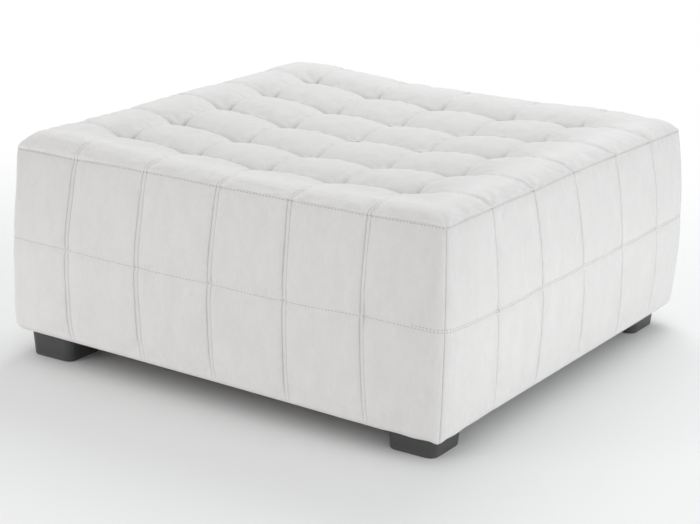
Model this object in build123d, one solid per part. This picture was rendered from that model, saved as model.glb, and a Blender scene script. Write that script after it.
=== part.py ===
from build123d import *
import math
import os

os.makedirs("parts", exist_ok=True)

# Square block ottoman, upholstered all over, with a biscuit-tufted top and four low block feet.
# Millimetres, +Z up. The origin is on the floor under the middle, and the front faces -Y.

# Upholstered block
seam_square = 955  # width and depth along the stitch line round the top
top_seam_height = 428  # floor to that stitch line
middle_seam_height = 248  # floor to the stitch line half way up the sides
underside_height = 50  # floor to the hem, turned under the block
side_swell = 27  # how far a side stands out past the top stitch line
widest_drop = 226  # top stitch line down to the widest level
corner_swell_share = 0.7  # a corner stands out less than the middle of a side
side_bow = 1.5  # bow of a side, seen from above, along the top stitch line
seam_corner_radius = 12  # corner of the block at the top stitch line
corner_round_share = 0.75  # the corner opens by this share of the swell
fold_radius = 20  # lower edge, where the cover turns under
cover_thickness = 4.5  # velvet with its wadding
clearance = 0.3  # between soft pieces, and round what passes through

# Sewn pattern, the same for the top and the sides
tuft_count = 5  # tufts in a row, and upright seams in a side
tuft_pitch = 162.5
strip_width = 8  # raised strip between the two stitch lines of an upright seam
strip_rise = 1.2  # strip above its two valleys
seam_sink = 1.5  # valley beside a strip, below the smooth side
panel_puff = 2  # crown of the cover between two upright seams
middle_sink = 1.4  # how deep the middle seam draws the side in
middle_draw_height = 14  # reach of that pull, up and down

# Quilted top
crown_rise = 20  # middle of a biscuit above the top stitch line
seam_rise = 11  # middle of a seam between two tufts, above the top stitch line
tuft_drop = 4  # tuft below the top stitch line
centre_dip = 11  # how much lower all of these lie at the middle of the top
roll_width = 50  # rounded edge of the top, from the stitch line to its crest
roll_seam_rise = 14  # crest of that edge where a seam runs over it
quilt_flat_drop = 23  # flat underside of the quilt below the top stitch line

# Frame
foam_depth = 25  # side foam beside the top stitch line
board_thickness = 5
rail_thickness = 25
rail_height = 60
post_width = 45
block_width = 90
block_height = 40
deck_thickness = 15
slab_height = 75  # foam slab between the deck and the quilt
hem_width = 47  # cover under the block, in from its fold
dust_cover_thickness = 1
dust_cover_lap = 20  # dust cover over the hem

# Feet and their fixings
foot_floor_width = 98
foot_top_width = 106
foot_inset = 16  # foot at the floor, in from the top stitch line
foot_corner_radius = 18
foot_edge_radius = 3
foot_wall = 4
foot_rib = 3
foot_boss_radius = 12
bolt_radius = 4
bolt_in_foot = 38
bolt_in_block = 18
insert_wall = 2.5
insert_length = 20

# Tuft cords and deck screws
cord_radius = 1.5
cord_hole_radius = 3
knot_radius = 3
knot_height = 4
anchor_radius = 9
anchor_thickness = 3
screw_radius = 2
screw_head_radius = 4
screw_head_height = 3
screw_length = 40
screw_pitch = 200
screws_per_rail = 4

overrun = 2  # how far a cutting shape runs past what it cuts

# Heights and half widths that follow
seam_half = seam_square / 2
frame_underside = underside_height + cover_thickness
quilt_underside = top_seam_height - quilt_flat_drop
deck_top = quilt_underside - slab_height
deck_underside = deck_top - deck_thickness
board_half = seam_half - cover_thickness - foam_depth
frame_half = board_half - board_thickness
rail_inner_half = frame_half - rail_thickness
tuft_places = [(step - (tuft_count - 1) / 2) * tuft_pitch for step in range(tuft_count)]
fold_height = underside_height + fold_radius
foot_centre = seam_half - foot_inset - foot_floor_width / 2
side_names = ["front", "right", "back", "left"]
corner_names = ["front_left", "front_right", "back_right", "back_left"]


def export(name, shape):
    """Writes one node."""
    shape.label = name
    export_step(shape, f"parts/{name}.step")


def block(low, high):
    """Box between two corners."""
    size = [top - bottom for bottom, top in zip(low, high)]
    middle = [(top + bottom) / 2 for bottom, top in zip(low, high)]
    return Pos(*middle) * Box(*size)


def square_plate(half, low, high):
    """Square plate about the middle, between two heights."""
    return block((-half, -half, low), (half, half, high))


def quarter_turns(shape):
    """The shape and its three copies, each turned a quarter further about the middle."""
    return [Rot(0, 0, quarter * 90) * shape for quarter in range(len(side_names))]


# Side covers: levels of the swollen block, seen from above


def swell(height):
    """How far the middle of a side stands out at a height: a parabola with its top at the widest level."""
    below_widest = (top_seam_height - height - widest_drop) / widest_drop
    return side_swell * (1 - below_widest**2)


def level(height, inward=0, turned_in=0):
    """Sizes of the outline at one height: drawn in by a thickness, and by what the fold turns in."""
    out = swell(max(height, fold_height))
    return {
        "height": height,
        "corner": seam_half + corner_swell_share * out - inward - turned_in,
        "bow": side_bow + (1 - corner_swell_share) * out,
        "radius": seam_corner_radius + corner_round_share * out - inward - turned_in,
    }


fold_angle_shares = [1 / 3, 2 / 3, 1]


def fold_levels(inward):
    """Levels round the lower edge, where the cover turns under on a quarter circle."""
    radius = fold_radius - inward
    levels = []
    for share in fold_angle_shares:
        angle = share * math.pi / 2
        turned_in = radius * (1 - math.cos(angle))
        levels.append(level(fold_height - radius * math.sin(angle), inward, turned_in))
    return levels


upper_height_shares = [1, 0.9, 0.7, 0.5, 0.3]
lower_height_shares = [0.75, 0.5, 0.25, 0]


def upper_heights():
    """Heights from the top stitch line down to where the middle seam begins to pull."""
    pull_top = middle_seam_height + middle_draw_height
    span = top_seam_height - pull_top
    return [pull_top + share * span for share in upper_height_shares] + [pull_top]


def lower_heights():
    """Heights from where the middle seam stops pulling down to the fold."""
    pull_foot = middle_seam_height - middle_draw_height
    span = pull_foot - fold_height
    return [pull_foot] + [fold_height + share * span for share in lower_height_shares]


def turned_outline(front_edges):
    """Closed outline from the edges of the front side and its right corner, repeated on all sides."""
    edges = []
    for quarter in range(len(side_names)):
        edges += [edge.rotate(Axis.Z, quarter * 90) for edge in front_edges]
    return Wire(edges)


def corner_arc(sizes):
    """Rounded corner between the front and the right side."""
    start = sizes["corner"] - sizes["radius"]
    middle = start + sizes["radius"] * math.cos(math.pi / 4)
    height = sizes["height"]
    return ThreePointArc(
        (start, -sizes["corner"], height),
        (middle, -middle, height),
        (sizes["corner"], -start, height),
    )


def smooth_side(sizes, place):
    """Depth of the front side at a place along it, without its seams: a shallow parabola."""
    reach = sizes["corner"] - sizes["radius"]
    return -(sizes["corner"] + sizes["bow"] * (1 - (place / reach) ** 2))


def plain_outline(sizes):
    """Outline with four bowed sides and four rounded corners."""
    reach = sizes["corner"] - sizes["radius"]
    height = sizes["height"]
    side = ThreePointArc(
        (-reach, smooth_side(sizes, reach), height),
        (0, smooth_side(sizes, 0), height),
        (reach, smooth_side(sizes, reach), height),
    )
    return turned_outline([side, corner_arc(sizes)])


def sewn_outline(sizes):
    """Outline with a crowned panel between seams, and a raised strip in two valleys at each seam."""
    reach = sizes["corner"] - sizes["radius"]
    height = sizes["height"]
    starts = [-reach] + [place + strip_width / 2 for place in tuft_places]
    ends = [place - strip_width / 2 for place in tuft_places] + [reach]
    edges = []
    for index, (start, end) in enumerate(zip(starts, ends)):
        start_sink = 0 if index == 0 else seam_sink
        end_sink = 0 if index == tuft_count else seam_sink
        middle = (start + end) / 2
        first = (start, smooth_side(sizes, start) + start_sink, height)
        crown = (middle, smooth_side(sizes, middle) - panel_puff, height)
        last = (end, smooth_side(sizes, end) + end_sink, height)
        edges.append(ThreePointArc(first, crown, last))
        if index < tuft_count:
            place = tuft_places[index]
            ridge = (place, smooth_side(sizes, place) + seam_sink - strip_rise, height)
            after = (starts[index + 1], smooth_side(sizes, starts[index + 1]) + seam_sink, height)
            edges.append(ThreePointArc(last, ridge, after))
    return turned_outline(edges + [corner_arc(sizes)])


def outer_blocks():
    """The block over its covers: above the middle seam, below it, and the fold."""
    middle = level(middle_seam_height, middle_sink)
    upper = [level(height) for height in upper_heights()] + [middle]
    lower = [middle] + [level(height) for height in lower_heights()]
    fold = [level(fold_height)] + fold_levels(0)
    return [Solid.make_loft([sewn_outline(sizes) for sizes in run]) for run in (upper, lower, fold)]


def inner_blocks(inward):
    """The space inside the covers, drawn in from the smooth outer form, and open past the top."""
    heights = [top_seam_height + overrun] + upper_heights() + lower_heights()
    upright = [level(height, inward) for height in heights]
    fold = [level(fold_height, inward)] + fold_levels(inward)
    return [Solid.make_loft([plain_outline(sizes) for sizes in run]) for run in (upright, fold)]


def front_part(blocks):
    """The blocks cut to the front side, mitred at its corners, and joined."""
    reach = 2 * seam_half
    triangle = Polyline((0, 0), (-reach, -reach), (reach, -reach), close=True)
    wedge = extrude(make_face(triangle), 2 * top_seam_height)
    front = blocks[0] & wedge
    for solid in blocks[1:]:
        front += solid & wedge
    return front


def foot_outline(side, radius, height, margin=0):
    """Rounded square of a foot at one height, about its own middle."""
    whole = side + 2 * margin
    return Pos(0, 0, height) * RectangleRounded(whole, whole, radius + margin)


def foot_places():
    """Middles of the four feet, in the order of corner_names."""
    return [(foot_centre * x, foot_centre * y) for x, y in ((-1, -1), (1, -1), (1, 1), (-1, 1))]


def foot_notches():
    """Square holes in the hem and the dust cover, where the feet pass up to the frame."""
    low = underside_height - dust_cover_thickness - overrun
    notch = extrude(
        foot_outline(foot_top_width, foot_corner_radius, low, clearance),
        frame_underside - low,
    )
    return [Pos(x, y, 0) * notch for x, y in foot_places()]


def make_covers():
    """Four side covers, each turned under the block as a hem."""
    hem_half = level(fold_height)["corner"] - fold_radius - hem_width
    cover = front_part(outer_blocks())
    for space in inner_blocks(cover_thickness):
        cover -= space
    cover -= square_plate(hem_half, underside_height - overrun, frame_underside + overrun)
    for notch in foot_notches():
        cover -= notch
    for name, turned in zip(side_names, quarter_turns(cover)):
        export(f"side_cover_{name}", turned)


# Quilted top: crossing arcs make the biscuits


def roll_height(offset, rise):
    """Rounded edge: height over the stitch line on a circle that is level at its crest."""
    radius = (roll_width**2 + rise**2) / (2 * rise)
    return rise - radius + math.sqrt(radius**2 - (roll_width - offset) ** 2)


roll_middle_share = 0.3
edge_dip_share = 0.25


def edge_arcs(place, crest, node):
    """From the stitch line over the rounded edge to the first tuft line, at one place in depth."""
    base = top_seam_height
    crest_at = -seam_half + roll_width
    inner_at = tuft_places[0]
    start = Vector(-seam_half, place, base)
    top = Vector(crest_at, place, crest)
    inner = Vector(inner_at, place, node)
    if crest == base:
        return [Line(start, top), Line(top, inner)]
    roll_offset = roll_middle_share * roll_width
    roll_middle = Vector(
        -seam_half + roll_offset, place, base + roll_height(roll_offset, crest - base)
    )
    dip = crest - edge_dip_share * (crest - node)
    dip_middle = Vector((crest_at + inner_at) / 2, place, dip)
    return [ThreePointArc(start, roll_middle, top), ThreePointArc(top, dip_middle, inner)]


def dish(across, along):
    """Sag of the top at a place: all of the dip at the middle, none at the outer tufts or past them."""
    outer = tuft_places[-1]
    shares = [1 - min(abs(place) / outer, 1) ** 2 for place in (across, along)]
    return centre_dip * shares[0] * shares[1]


def quilt_section(place, crest, node, arch):
    """Closed section across the quilt: one arc over each biscuit, and flat below."""
    left = edge_arcs(place, crest, node)
    edges = list(left)
    for start, end in zip(tuft_places, tuft_places[1:]):
        ends = [Vector(tuft, place, node - dish(tuft, place)) for tuft in (start, end)]
        if arch == node:
            edges.append(Line(*ends))
        else:
            middle = (start + end) / 2
            crown = Vector(middle, place, arch - dish(middle, place))
            edges.append(ThreePointArc(ends[0], crown, ends[1]))
    edges += [edge.mirror(Plane.YZ) for edge in reversed(left)]
    top_left = Vector(-seam_half, place, top_seam_height)
    top_right = Vector(seam_half, place, top_seam_height)
    low_left = Vector(-seam_half, place, quilt_underside)
    low_right = Vector(seam_half, place, quilt_underside)
    edges += [Line(top_right, low_right), Line(low_right, low_left), Line(low_left, top_left)]
    return Wire(edges)


roll_step_shares = [0.12, 0.45, 1]


def edge_row():
    """Front row of biscuits, which rolls over the edge down to the stitch line."""
    base = top_seam_height
    sections = [quilt_section(-seam_half, base, base, base)]
    for share in roll_step_shares:
        risen = roll_height(share * roll_width, crown_rise) / crown_rise
        sections.append(
            quilt_section(
                -seam_half + share * roll_width,
                base + risen * crown_rise,
                base + risen * roll_seam_rise,
                base + risen * crown_rise,
            )
        )
    crest_at = -seam_half + roll_width
    middle_at = (crest_at + tuft_places[0]) / 2
    sections.append(
        quilt_section(
            middle_at,
            base + crown_rise - edge_dip_share * (crown_rise - roll_seam_rise),
            base + roll_seam_rise - edge_dip_share * (roll_seam_rise + tuft_drop),
            base + crown_rise - edge_dip_share * (crown_rise - seam_rise),
        )
    )
    sections.append(seam_section(tuft_places[0]))
    return Solid.make_loft(sections)


def seam_section(place):
    """Section along a row of tufts."""
    base = top_seam_height
    return quilt_section(place, base + roll_seam_rise, base - tuft_drop, base + seam_rise)


def crown_section(place):
    """Section along the middles of a row of biscuits."""
    base = top_seam_height
    return quilt_section(place, base + crown_rise, base + seam_rise, base + crown_rise)


def prism(sizes, low, high):
    """Upright block with the plain outline of a level."""
    outline = plain_outline(dict(sizes, height=low))
    return extrude(make_face(outline), high - low)


def make_quilt():
    """The tufted cover with its filling, flat below, its rim set down inside the side covers."""
    front_row = edge_row()
    quilt = front_row
    for start, end in zip(tuft_places, tuft_places[1:]):
        middle = crown_section((start + end) / 2)
        quilt += Solid.make_loft([seam_section(start), middle, seam_section(end)])
    quilt += front_row.mirror(Plane.XZ)
    rim = level(top_seam_height, cover_thickness + clearance)
    keep = prism(rim, quilt_underside, top_seam_height)
    keep += prism(level(top_seam_height), top_seam_height, top_seam_height + crown_rise + overrun)
    export("top_quilt", quilt & keep)


# Foam


def tuft_grid():
    """Places of the tufts, row by row from the front."""
    return [(x, y) for y in tuft_places for x in tuft_places]


def make_foam():
    """Foam slab under the quilt, with a hole for each tuft cord, and four crowned side pads."""
    slab = square_plate(board_half, deck_top, quilt_underside)
    hole = Cylinder(cord_hole_radius, slab_height + 2 * overrun)
    middle = (deck_top + quilt_underside) / 2
    for x, y in tuft_grid():
        slab -= Pos(x, y, middle) * hole
    export("top_foam", slab)

    pad = front_part(inner_blocks(cover_thickness + clearance))
    pad &= square_plate(seam_square, frame_underside, quilt_underside)
    pad -= square_plate(board_half, frame_underside - overrun, quilt_underside + overrun)
    for name, turned in zip(side_names, quarter_turns(pad)):
        export(f"side_foam_{name}", turned)


# Frame


def screw_places():
    """Places of the deck screws, over the middles of the top rails."""
    across = frame_half - rail_thickness / 2
    along = [(step - (screws_per_rail - 1) / 2) * screw_pitch for step in range(screws_per_rail)]
    front = [(place, -across) for place in along]
    places = []
    for x, y in front:
        places += [(x, y), (-y, x), (-x, -y), (y, -x)]
    return places


def deck_screw(margin=0):
    """Countersunk screw under the deck's surface, or its hole when given a margin."""
    head = Cone(
        screw_radius + margin,
        screw_head_radius + margin,
        screw_head_height,
        align=(Align.CENTER, Align.CENTER, Align.MAX),
    )
    shank = Cylinder(
        screw_radius + margin, screw_length + margin, align=(Align.CENTER, Align.CENTER, Align.MAX)
    )
    return Pos(0, 0, deck_top) * (head + shank)


def make_deck():
    """Board under the foam, with holes for the tuft cords and the screws."""
    deck = square_plate(board_half, deck_underside, deck_top)
    hole = Cylinder(cord_hole_radius, deck_thickness + 2 * overrun)
    for x, y in tuft_grid():
        deck -= Pos(x, y, (deck_top + deck_underside) / 2) * hole
    screw_hole = deck_screw(clearance)
    for x, y in screw_places():
        deck -= Pos(x, y, 0) * screw_hole
    export("deck_board", deck)


def make_rails():
    """Four top rails between the posts, four bottom rails between the leg blocks."""
    post_inner = frame_half - post_width
    block_inner = frame_half - block_width
    top_rail = block(
        (-post_inner, -frame_half, deck_underside - rail_height),
        (post_inner, -rail_inner_half, deck_underside),
    )
    screw_hole = deck_screw(clearance)
    for x, y in screw_places():
        if abs(x) < post_inner and y < -rail_inner_half:
            top_rail -= Pos(x, y, 0) * screw_hole
    bottom_rail = block(
        (-block_inner, -frame_half, frame_underside),
        (block_inner, -rail_inner_half, frame_underside + rail_height),
    )
    for name, top, bottom in zip(side_names, quarter_turns(top_rail), quarter_turns(bottom_rail)):
        export(f"top_rail_{name}", top)
        export(f"bottom_rail_{name}", bottom)


def make_corners():
    """At each corner a leg block, bored for its threaded insert, and a post that stands on it."""
    insert_radius = bolt_radius + insert_wall
    block_top = frame_underside + block_height
    inner = frame_half - block_width
    leg_block = block((-frame_half, -frame_half, frame_underside), (-inner, -inner, block_top))
    bore = Cylinder(
        insert_radius + clearance,
        insert_length + 2 * clearance,
        align=(Align.CENTER, Align.CENTER, Align.MIN),
    )
    leg_block -= Pos(-foot_centre, -foot_centre, frame_underside - clearance) * bore
    post_inner = frame_half - post_width
    post = block((-frame_half, -frame_half, block_top), (-post_inner, -post_inner, deck_underside))
    for name, leg, upright in zip(corner_names, quarter_turns(leg_block), quarter_turns(post)):
        export(f"leg_block_{name}", leg)
        export(f"corner_post_{name}", upright)


def make_boards():
    """Thin boards that close the frame's sides behind the foam."""
    front = block(
        (-board_half, -board_half, frame_underside), (board_half, -frame_half, deck_underside)
    )
    right = block(
        (frame_half, -frame_half, frame_underside), (board_half, frame_half, deck_underside)
    )
    export("side_board_front", front)
    export("side_board_right", right)
    export("side_board_back", Rot(0, 0, 180) * front)
    export("side_board_left", Rot(0, 0, 180) * right)


def make_joists():
    """Two joists under the deck, between rows of tufts, and a stretcher between the bottom rails."""
    joist = block(
        (-rail_thickness / 2, -rail_inner_half, deck_underside - rail_height),
        (rail_thickness / 2, rail_inner_half, deck_underside),
    )
    place = (tuft_places[-1] + tuft_places[-2]) / 2
    export("deck_joist_left", Pos(-place, 0, 0) * joist)
    export("deck_joist_right", Pos(place, 0, 0) * joist)
    stretcher = block(
        (-rail_thickness / 2, -rail_inner_half, frame_underside),
        (rail_thickness / 2, rail_inner_half, frame_underside + rail_height),
    )
    export("base_stretcher", stretcher)


def make_dust_cover():
    """Thin cloth over the open underside, lapped over the hem and cut round the feet."""
    hem_half = level(fold_height)["corner"] - fold_radius - hem_width
    cloth = square_plate(
        hem_half + dust_cover_lap, underside_height - dust_cover_thickness, underside_height
    )
    for notch in foot_notches():
        cloth -= notch
    export("dust_cover", cloth)


# Feet, and what holds them


def foot_body(wall, low, high):
    """Tapered block of a foot, drawn in by a wall, between two heights."""
    sections = []
    for height in (low, high):
        side = foot_floor_width + (foot_top_width - foot_floor_width) * height / frame_underside
        sections.append(foot_outline(side, foot_corner_radius, height, -wall))
    return loft(sections)


def make_feet():
    """Moulded feet: a tapered shell, open above, with a boss for the bolt and ribs to its walls."""
    shell = foot_body(0, 0, frame_underside)
    shell = fillet(shell.faces().sort_by(Axis.Z)[0].edges(), foot_edge_radius)
    shell -= foot_body(foot_wall, foot_wall, frame_underside + overrun)
    upright = (Align.CENTER, Align.CENTER, Align.MIN)
    floor = Pos(0, 0, foot_wall)
    inner = frame_underside - foot_wall
    boss = floor * Cylinder(foot_boss_radius, inner, align=upright)
    reach = foot_floor_width - foot_wall
    ribs = floor * Box(reach, foot_rib, inner, align=upright)
    ribs += floor * Box(foot_rib, reach, inner, align=upright)
    shell += boss + ribs
    bolt_foot = frame_underside - bolt_in_foot
    bore = Cylinder(bolt_radius + clearance, bolt_in_foot + overrun, align=upright)
    shell -= Pos(0, 0, bolt_foot) * bore
    for name, (x, y) in zip(corner_names, foot_places()):
        export(f"foot_{name}", Pos(x, y, 0) * shell)

    bolt = Cylinder(bolt_radius, bolt_in_foot + bolt_in_block, align=upright)
    bolts = [Pos(x, y, bolt_foot) * bolt for x, y in foot_places()]
    export("leg_bolts", Compound(bolts))
    insert = Cylinder(bolt_radius + insert_wall, insert_length, align=upright)
    insert -= Cylinder(bolt_radius + clearance, insert_length, align=upright)
    inserts = [Pos(x, y, frame_underside) * insert for x, y in foot_places()]
    export("threaded_inserts", Compound(inserts))


def make_tuft_cords():
    """Cords that pull the tufts down, knotted under an anchor disc below the deck."""
    hanging = (Align.CENTER, Align.CENTER, Align.MAX)
    anchor_low = deck_underside - anchor_thickness
    cord = Cylinder(cord_radius, quilt_underside - anchor_low, align=hanging)
    cord = Pos(0, 0, quilt_underside) * cord
    cord += Pos(0, 0, anchor_low) * Cylinder(knot_radius, knot_height, align=hanging)
    disc = Cylinder(anchor_radius, anchor_thickness, align=hanging)
    disc -= Cylinder(cord_radius + clearance, anchor_thickness, align=hanging)
    export("tuft_cords", Compound([Pos(x, y, 0) * cord for x, y in tuft_grid()]))
    discs = [Pos(x, y, deck_underside) * disc for x, y in tuft_grid()]
    export("tuft_anchors", Compound(discs))


def make_screws():
    """Screws that hold the deck to the top rails."""
    screw = deck_screw()
    export("deck_screws", Compound([Pos(x, y, 0) * screw for x, y in screw_places()]))


make_covers()
make_quilt()
make_foam()
make_deck()
make_rails()
make_corners()
make_boards()
make_joists()
make_dust_cover()
make_feet()
make_tuft_cords()
make_screws()
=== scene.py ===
import math
import bpy
import numpy as np
from mathutils import Matrix, Vector


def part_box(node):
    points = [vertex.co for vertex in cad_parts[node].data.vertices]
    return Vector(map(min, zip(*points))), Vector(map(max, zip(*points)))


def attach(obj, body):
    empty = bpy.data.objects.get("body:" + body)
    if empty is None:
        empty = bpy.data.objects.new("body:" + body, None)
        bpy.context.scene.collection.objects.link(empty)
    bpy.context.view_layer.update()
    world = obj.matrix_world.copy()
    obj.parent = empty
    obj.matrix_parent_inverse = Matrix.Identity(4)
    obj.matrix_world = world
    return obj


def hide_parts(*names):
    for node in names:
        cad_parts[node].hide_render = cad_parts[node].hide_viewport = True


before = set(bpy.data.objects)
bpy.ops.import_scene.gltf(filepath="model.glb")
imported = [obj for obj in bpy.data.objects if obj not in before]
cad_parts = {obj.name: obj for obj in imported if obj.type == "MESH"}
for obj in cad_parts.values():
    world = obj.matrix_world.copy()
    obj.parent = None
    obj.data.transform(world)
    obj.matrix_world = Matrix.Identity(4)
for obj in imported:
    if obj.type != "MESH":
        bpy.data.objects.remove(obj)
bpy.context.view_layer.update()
print("frame loaded")

# Sizes that the covers share with the frame, in metres. The floor is at z 0 and the front faces -Y.
block = {
    "half": 0.4775,          # middle of the block to the stitch line round the top
    "top": 0.428,            # height of that line
    "middle": 0.248,         # height of the level seam round the sides
    "fold": 0.070,           # where the cover begins to turn under
    "foldRadius": 0.020,
    "swell": 0.027,          # how far a side stands out past the top stitch line
    "widestDrop": 0.226,
    "cornerSwell": 0.7,      # a corner stands out less than the middle of a side
    "bow": 0.0015,
    "cornerRadius": 0.012,
    "cornerRound": 0.75,
    "cloth": 0.0045,         # velvet with its wadding
    "pitch": 0.1625,         # between two tufts
    "fineReach": 0.0075,     # how far from a seam the grids stay fine
}
half, topSeam, middleSeam, foldTop = (block[key] for key in ("half", "top", "middle", "fold"))
seamPlaces = (np.arange(5) - 2) * block["pitch"]
stops = np.concatenate([[-half], seamPlaces, [half]])
sideNames = ["front", "right", "back", "left"]

# How the sewn covers stray from the plan, in mm. One row for each side, in the order of sideNames, from its
# left corner over the five upright seams to its right corner as that side is faced.
stray = {
    "rimRise": [[-7, -5.5, -1.7, -1.6, -0.2, 1.1, 5], [5, 5.2, 3.8, 4.5, 1, -3.5, -8],
                [-8, 4, 0.5, -2.5, -8, -8.5, -14], [-14, -12, -10, -7, -9, -9, -7]],
    "middleRise": [[0.6, 0.8, -0.4, 1.0, 0.2, 5, 3.3], [3.3, -0.8, 1.7, 0.8, -2.1, -4.4, -8],
                   [-8, -4, -1, 0, 1, 0, 0], [0, 0, 0, 0, 0, 0, 0.6]],
    "hemDrop": [[-3, -3, -1.6, 0.7, 4.2, 8.9, 11], [11, 6.8, 5.4, 5.4, 7, 10, 12],
                [12, 8, 6, 4, 2, 0, -2], [-2, -2, -2, -2, -3, -3, -3]],
    "seamTop": [[0, -1.8, 1.2, 4.5, -2.9, -0.8, 0], [0, 1.6, -9.3, -13.2, 2.4, 2.3, 0],
                [0, 2, -3, 1, 4, -2, 0], [0, -3, 2, 4, -2, 1, 0]],
    "seamMiddle": [[0, -17.2, -8.3, -0.9, 1.8, 1.7, 0], [0, 1.4, -0.6, -0.1, 6.6, 13.4, 0],
                   [0, 4, -2, 3, 6, -3, 0], [0, 2, 5, -3, -4, 3, 0]],
    "seamLow": [[0, -8, 3, 7.5, 9, 10.5, 0], [0, 14.5, 7, 16, 24.5, 25, 0],
                [0, 5, 2, -3, 6, -5, 0], [0, -4, 3, 5, -6, 2, 0]],
    # shift of the front left, front right, back right and back left corner, at the top, middle and bottom
    "cornerX": [[-2, 0, 3, 0], [6.5, 0, 3, 0], [-1, 0, 2, 0]],
    "cornerY": [[0, 0, 8, 0], [0, 0, 8, 0], [0, 0, 5, 0]],
    "hang": 7, "hangReach": 14,         # the tip of cloth at the front right corner
    "wave": 1.1, "waveReach": 110,      # of the hem beside that corner
}


# Helpers for surfaces


def unit(t):
    return np.clip(t, 0, 1)


# smooth step from 0 to 1, 3t^2 - 2t^3
def eased(t):
    t = unit(t)
    return t * t * (3 - 2 * t)


# a bell of height 1, exp(-(away / reach)^2)
def bell(away, reach):
    return np.exp(-(away / reach) ** 2)


def xyz(x, y, z):
    return np.stack(np.broadcast_arrays(x, y, z), axis=-1)


def normed(v):
    return v / np.maximum(np.linalg.norm(v, axis=-1, keepdims=True), 1e-12)


# distance to the nearest of some places along a line, which are the seams if none are given
def nearest(x, places=seamPlaces):
    return np.min(np.abs(x[..., None] - places), axis=-1)


# distance in from the edge of the top
def fromEdge(x, y):
    return half - np.maximum(np.abs(x), np.abs(y))


# random values on a lattice, eased between its points
def softNoise(a, b, seed):
    lattice = np.random.default_rng(seed).uniform(-1, 1, (97, 97))
    ia, ib = np.floor(a).astype(int), np.floor(b).astype(int)
    fa, fb = eased(a - ia), eased(b - ib)
    ia, ib = ia % 96, ib % 96
    low, high = (lattice[ia, ib + k] * (1 - fa) + lattice[ia + 1, ib + k] * fa for k in (0, 1))
    return low * (1 - fb) + high * fb


# a row of places from low to high, close together near the seams and wider apart between them
def seamGrid(low, high, places, fine, coarse, reach):
    x = np.linspace(low, high, 8001)
    step = fine + (coarse - fine) * unit((nearest(x, places) - reach) / (2 * reach))
    count = np.concatenate([[0], np.cumsum((x[1] - x[0]) / step[1:])])
    return np.interp(np.linspace(0, count[-1], int(np.ceil(count[-1])) + 1), count, x)


# a grid line over a slab with a rolled edge: the roll in equal turns of its quarter circle, then by the seams
def rolledLine(reach, roll, turns, fine, coarse, fineReach):
    edge = reach - roll * (1 - np.cos(np.linspace(0, math.pi / 2, turns)))
    between = seamGrid(-edge[-1], edge[-1], seamPlaces, fine, coarse, fineReach)
    return np.concatenate([-edge[:-1], between, edge[-2::-1]])


# values on one grid line carried to another line, along an axis, with a cubic through four neighbours
def resample(values, fromLine, toLine, axis=0):
    values = np.moveaxis(np.asarray(values, dtype=float), axis, 0)
    at = np.interp(toLine, fromLine, np.arange(fromLine.size))
    low = np.clip(np.floor(at).astype(int), 0, fromLine.size - 2)
    t = (at - low).reshape((-1,) + (1,) * (values.ndim - 1))
    p = [values[np.clip(low + k, 0, fromLine.size - 1)] for k in (-1, 0, 1, 2)]
    made = 0.5 * (2 * p[1] + (p[2] - p[0]) * t + (2 * p[0] - 5 * p[1] + 4 * p[2] - p[3]) * t**2
                  + (3 * p[1] - p[0] - 3 * p[2] + p[3]) * t**3)
    return np.moveaxis(made, 0, axis)


# normals of a grid of points, from the cross product of its two directions
def gridNormals(points):
    return normed(np.cross(np.gradient(points, axis=0), np.gradient(points, axis=1)))


# faces of a grid of rows by columns, where the rows or the columns may close on themselves
def gridFaces(rows, cols, wrapRows=False, wrapCols=False):
    index = np.arange(rows * cols).reshape(rows, cols)
    if wrapRows:
        index = np.vstack([index, index[:1]])
    if wrapCols:
        index = np.hstack([index, index[:, :1]])
    corners = [index[:-1, :-1], index[1:, :-1], index[1:, 1:], index[:-1, 1:]]
    return np.stack([c.ravel() for c in corners], axis=1)


# faces of rows that close on themselves, and a cap over each end
def loopFaces(rows, cols):
    ends = np.arange(rows) * cols
    return [gridFaces(rows, cols, wrapRows=True), np.stack([ends[::-1], ends + cols - 1])]


# faces of a number of bars, each a row of rings of six points, and the caps of their ends
def barFaces(count, rings):
    starts = np.arange(count)[:, None] * rings * 6
    sides = (starts[..., None] + gridFaces(rings, 6, wrapCols=True)).reshape(-1, 4)
    return [sides, np.concatenate([starts + np.arange(6), starts + rings * 6 - 1 - np.arange(6)])]


# the outermost points of a square grid, in their order round it, and a band of faces between two such rings
def gridRing(n):
    index = np.arange(n * n).reshape(n, n)
    return np.concatenate([index[0, :-1], index[:-1, -1], index[-1, :0:-1], index[:0:-1, 0]])


def band(upper, lower):
    return np.stack([upper, lower, np.roll(lower, -1), np.roll(upper, -1)], axis=1)


def linked(name, data):
    thing = bpy.data.objects.new(name, data)
    bpy.context.collection.objects.link(thing)
    return thing


# a mesh object from points and lists of faces, shaded smooth, with the painted shade of its cloth at each
# point, painted light where it is below 0
def meshPiece(name, points, faceLists, material, paintedShade=None):
    mesh = bpy.data.meshes.new(name)
    faces = [tuple(face) for part in faceLists for face in np.asarray(part).tolist()]
    mesh.from_pydata(points.reshape(-1, 3).tolist(), [], faces)
    mesh.polygons.foreach_set("use_smooth", np.ones(len(mesh.polygons), dtype=bool))
    if paintedShade is not None:
        shade = mesh.attributes.new("paintedShade", "FLOAT", "POINT").data
        shade.foreach_set("value", paintedShade.astype(np.float32).ravel())
    mesh.update()
    mesh.materials.append(material)
    piece = linked(name, mesh)
    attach(piece, "root")
    return piece


# quarter turns about the middle, so that one side serves for all four
def turned(points, quarter):
    c, s = [(1, 0), (0, 1), (-1, 0), (0, -1)][quarter]
    x, y, z = np.moveaxis(points, -1, 0)
    return xyz(c * x - s * y, s * x + c * y, z)


# one of the stray rows of a side at places along it, in metres
def strayAt(key, quarter, along):
    return resample(stray[key][quarter], stops, along.ravel()).reshape(along.shape) / 1000


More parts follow.
